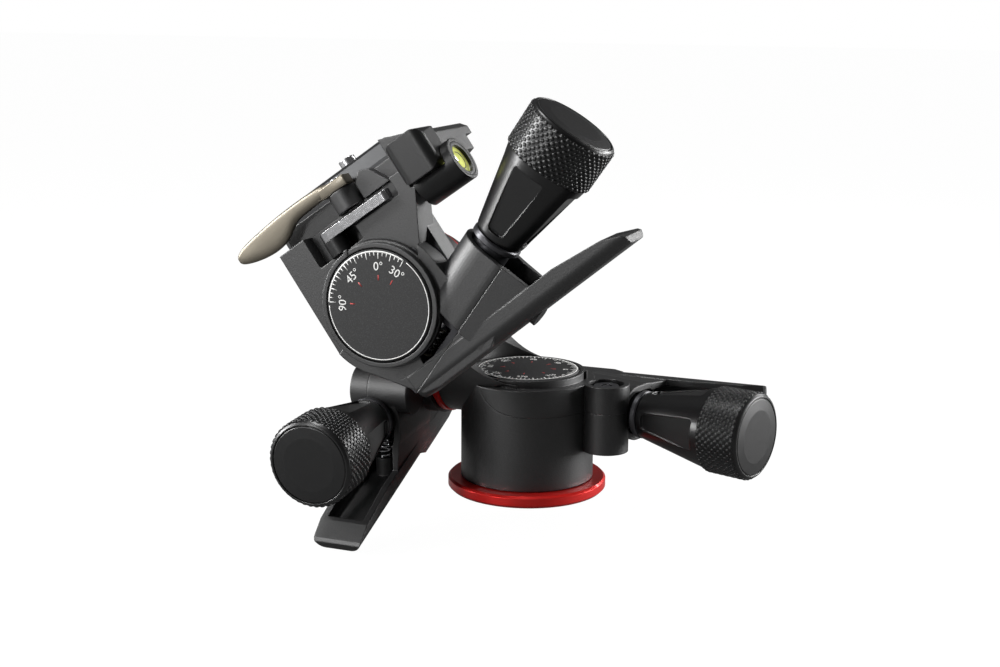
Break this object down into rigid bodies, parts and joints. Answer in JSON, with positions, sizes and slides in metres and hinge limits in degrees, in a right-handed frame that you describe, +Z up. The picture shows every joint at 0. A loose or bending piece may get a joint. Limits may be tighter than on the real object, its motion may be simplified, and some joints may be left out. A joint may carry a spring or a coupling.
{
  "type": "geared tripod head",
  "caption": "Three-way geared tripod head with pan, tilt and roll worm drives, each with a knurled knob and squeeze release lever, and a quick-release camera clamp.",
  "frame": {"origin": "centre of the base face, where the pan axis meets the tripod", "axes": "+Z up along the pan axis, +X along the tilt axis away from the tilt unit, -Y along the roll axis towards the front dial"},
  "size_m": [0.18, 0.1235, 0.1615],
  "materials": {
    "red_anodised": "satin red anodised",
    "black_casting": "fine textured black paint on die-cast alloy",
    "black_knob": "matte rubber-like grip",
    "knob_disc": "satin end disc",
    "dial_face": "fine grained black with white scale",
    "steel": "turned steel",
    "dark_steel": "black oxide steel",
    "brass": "cut bronze wheel",
    "bearing": "plain bearing polymer",
    "lever_bronze": "satin champagne anodised",
    "plate_grey": "satin grey anodised",
    "rubber": "matte rubber",
    "vial_glass": "clear yellow-green bubble vial",
    "black_plastic": "fine textured black plastic"
  },
  "bodies": {
    "root": {"base_ring": "red_anodised", "base_insert": "steel", "base_screws": "dark_steel", "pan_spindle": "steel", "pan_wheel": "brass", "pan_dial": "dial_face"},
    "pan_head": {"pan_housing": "black_casting", "pan_cap": "black_casting", "pan_bushings": "bearing", "pan_screws": "dark_steel", "pan_rocker_pin": "steel", "pan_spring": "steel", "tilt_ring": "red_anodised", "tilt_spindle": "steel", "tilt_wheel": "brass", "tilt_dial": "dial_face"},
    "tilt_head": {"tilt_housing": "black_casting", "tilt_cap": "black_casting", "tilt_bushings": "bearing", "tilt_screws": "dark_steel", "tilt_rocker_pin": "steel", "tilt_spring": "steel", "roll_ring": "red_anodised", "roll_spindle": "steel", "roll_wheel": "brass", "roll_dial": "dial_face"},
    "roll_head": {"roll_housing": "black_casting", "roll_cap": "black_casting", "roll_bushings": "bearing", "roll_screws": "dark_steel", "roll_rocker_pin": "steel", "roll_spring": "steel", "platform": "black_casting", "platform_screws": "dark_steel", "clamp_pin": "steel", "safety_post": "black_plastic", "level_box": "black_plastic", "vial_housing": "black_plastic", "vial": "vial_glass"},
    "pan_release": {"pan_rocker": "dark_steel", "pan_worm_bushes": "bearing"},
    "pan_control": {"pan_worm": "steel", "pan_knob": "black_knob", "pan_knob_cap": "knob_disc"},
    "tilt_release": {"tilt_rocker": "dark_steel", "tilt_worm_bushes": "bearing"},
    "tilt_control": {"tilt_worm": "steel", "tilt_knob": "black_knob", "tilt_knob_cap": "knob_disc"},
    "roll_release": {"roll_rocker": "dark_steel", "roll_worm_bushes": "bearing"},
    "roll_control": {"roll_worm": "steel", "roll_knob": "black_knob", "roll_knob_cap": "knob_disc"},
    "clamp": {"clamp_lever": "lever_bronze"},
    "catch": {"safety_lever": "steel"},
    "plate": {"quick_plate": "plate_grey", "plate_pad": "rubber"},
    "plate_screw": {"camera_screw": "steel", "screw_ring": "steel"}
  },
  "joints": [
    {"name": "pan", "type": "hinge", "parent": "root", "child": "pan_head", "pos_m": [0, 0, 0.0309], "axis": [0, 0, 1], "continuous": true},
    {"name": "tilt", "type": "hinge", "parent": "pan_head", "child": "tilt_head", "pos_m": [-0.047, 0, 0.0513], "axis": [-1, 0, 0], "range_deg": [-30, 90]},
    {"name": "roll", "type": "hinge", "parent": "tilt_head", "child": "roll_head", "pos_m": [-0.0276, -0.0593, 0.0803], "axis": [0, -1, 0], "range_deg": [-65, 55]},
    {"name": "pan_release", "type": "hinge", "parent": "pan_head", "child": "pan_release", "pos_m": [-0.00963, 0.02323, 0.0309], "axis": [0, 0, 1], "range_deg": [0, 6.5], "stiffness_Nm_per_rad": 2, "springref_deg": -15.47, "deforming": ["pan_spring"]},
    {"name": "pan_knob", "type": "hinge", "parent": "pan_release", "child": "pan_control", "pos_m": [0.04564, 0.00529, 0.0309], "axis": [0.9563, -0.2924, 0], "continuous": true},
    {"name": "tilt_release", "type": "hinge", "parent": "tilt_head", "child": "tilt_release", "pos_m": [-0.047, 0.01741, 0.03315], "axis": [-1, 0, 0], "range_deg": [-6.5, 0], "stiffness_Nm_per_rad": 2, "springref_deg": 15.47, "deforming": ["tilt_spring"]},
    {"name": "tilt_knob", "type": "hinge", "parent": "tilt_release", "child": "tilt_control", "pos_m": [-0.047, -0.0406, 0.02979], "axis": [0, -0.9972, -0.075], "range_deg": [-1080, 3240]},
    {"name": "roll_release", "type": "hinge", "parent": "roll_head", "child": "roll_release", "pos_m": [-0.02059, -0.0593, 0.05615], "axis": [0, -1, 0], "range_deg": [-6.5, 0], "stiffness_Nm_per_rad": 2, "springref_deg": 15.47, "deforming": ["roll_spring"]},
    {"name": "roll_knob", "type": "hinge", "parent": "roll_release", "child": "roll_control", "pos_m": [0.01132, -0.0593, 0.10471], "axis": [0.5635, 0, 0.8261], "range_deg": [-2340, 1980]},
    {"name": "clamp_lever", "type": "hinge", "parent": "roll_head", "child": "clamp", "pos_m": [-0.04776, -0.0599, 0.11868], "axis": [-0.5736, 0, 0.8192], "range_deg": [0, 75]},
    {"name": "safety_lever", "type": "hinge", "parent": "roll_head", "child": "catch", "pos_m": [-0.04751, -0.0648, 0.10176], "axis": [-0.5736, 0, 0.8192], "range_deg": [-35, 0]},
    {"name": "plate_slide", "type": "slide", "parent": "roll_head", "child": "plate", "axis": [-0.8192, 0, -0.5736], "range_m": [0, 0.055]},
    {"name": "camera_screw", "type": "hinge", "parent": "plate", "child": "plate_screw", "pos_m": [-0.05513, -0.0325, 0.11962], "axis": [-0.5736, 0, 0.8192], "continuous": true}
  ],
  "couplings": [
    {"joint": "pan_knob", "follows": "pan", "ratio": 36},
    {"joint": "tilt_knob", "follows": "tilt", "ratio": 36},
    {"joint": "roll_knob", "follows": "roll", "ratio": 36}
  ]
}
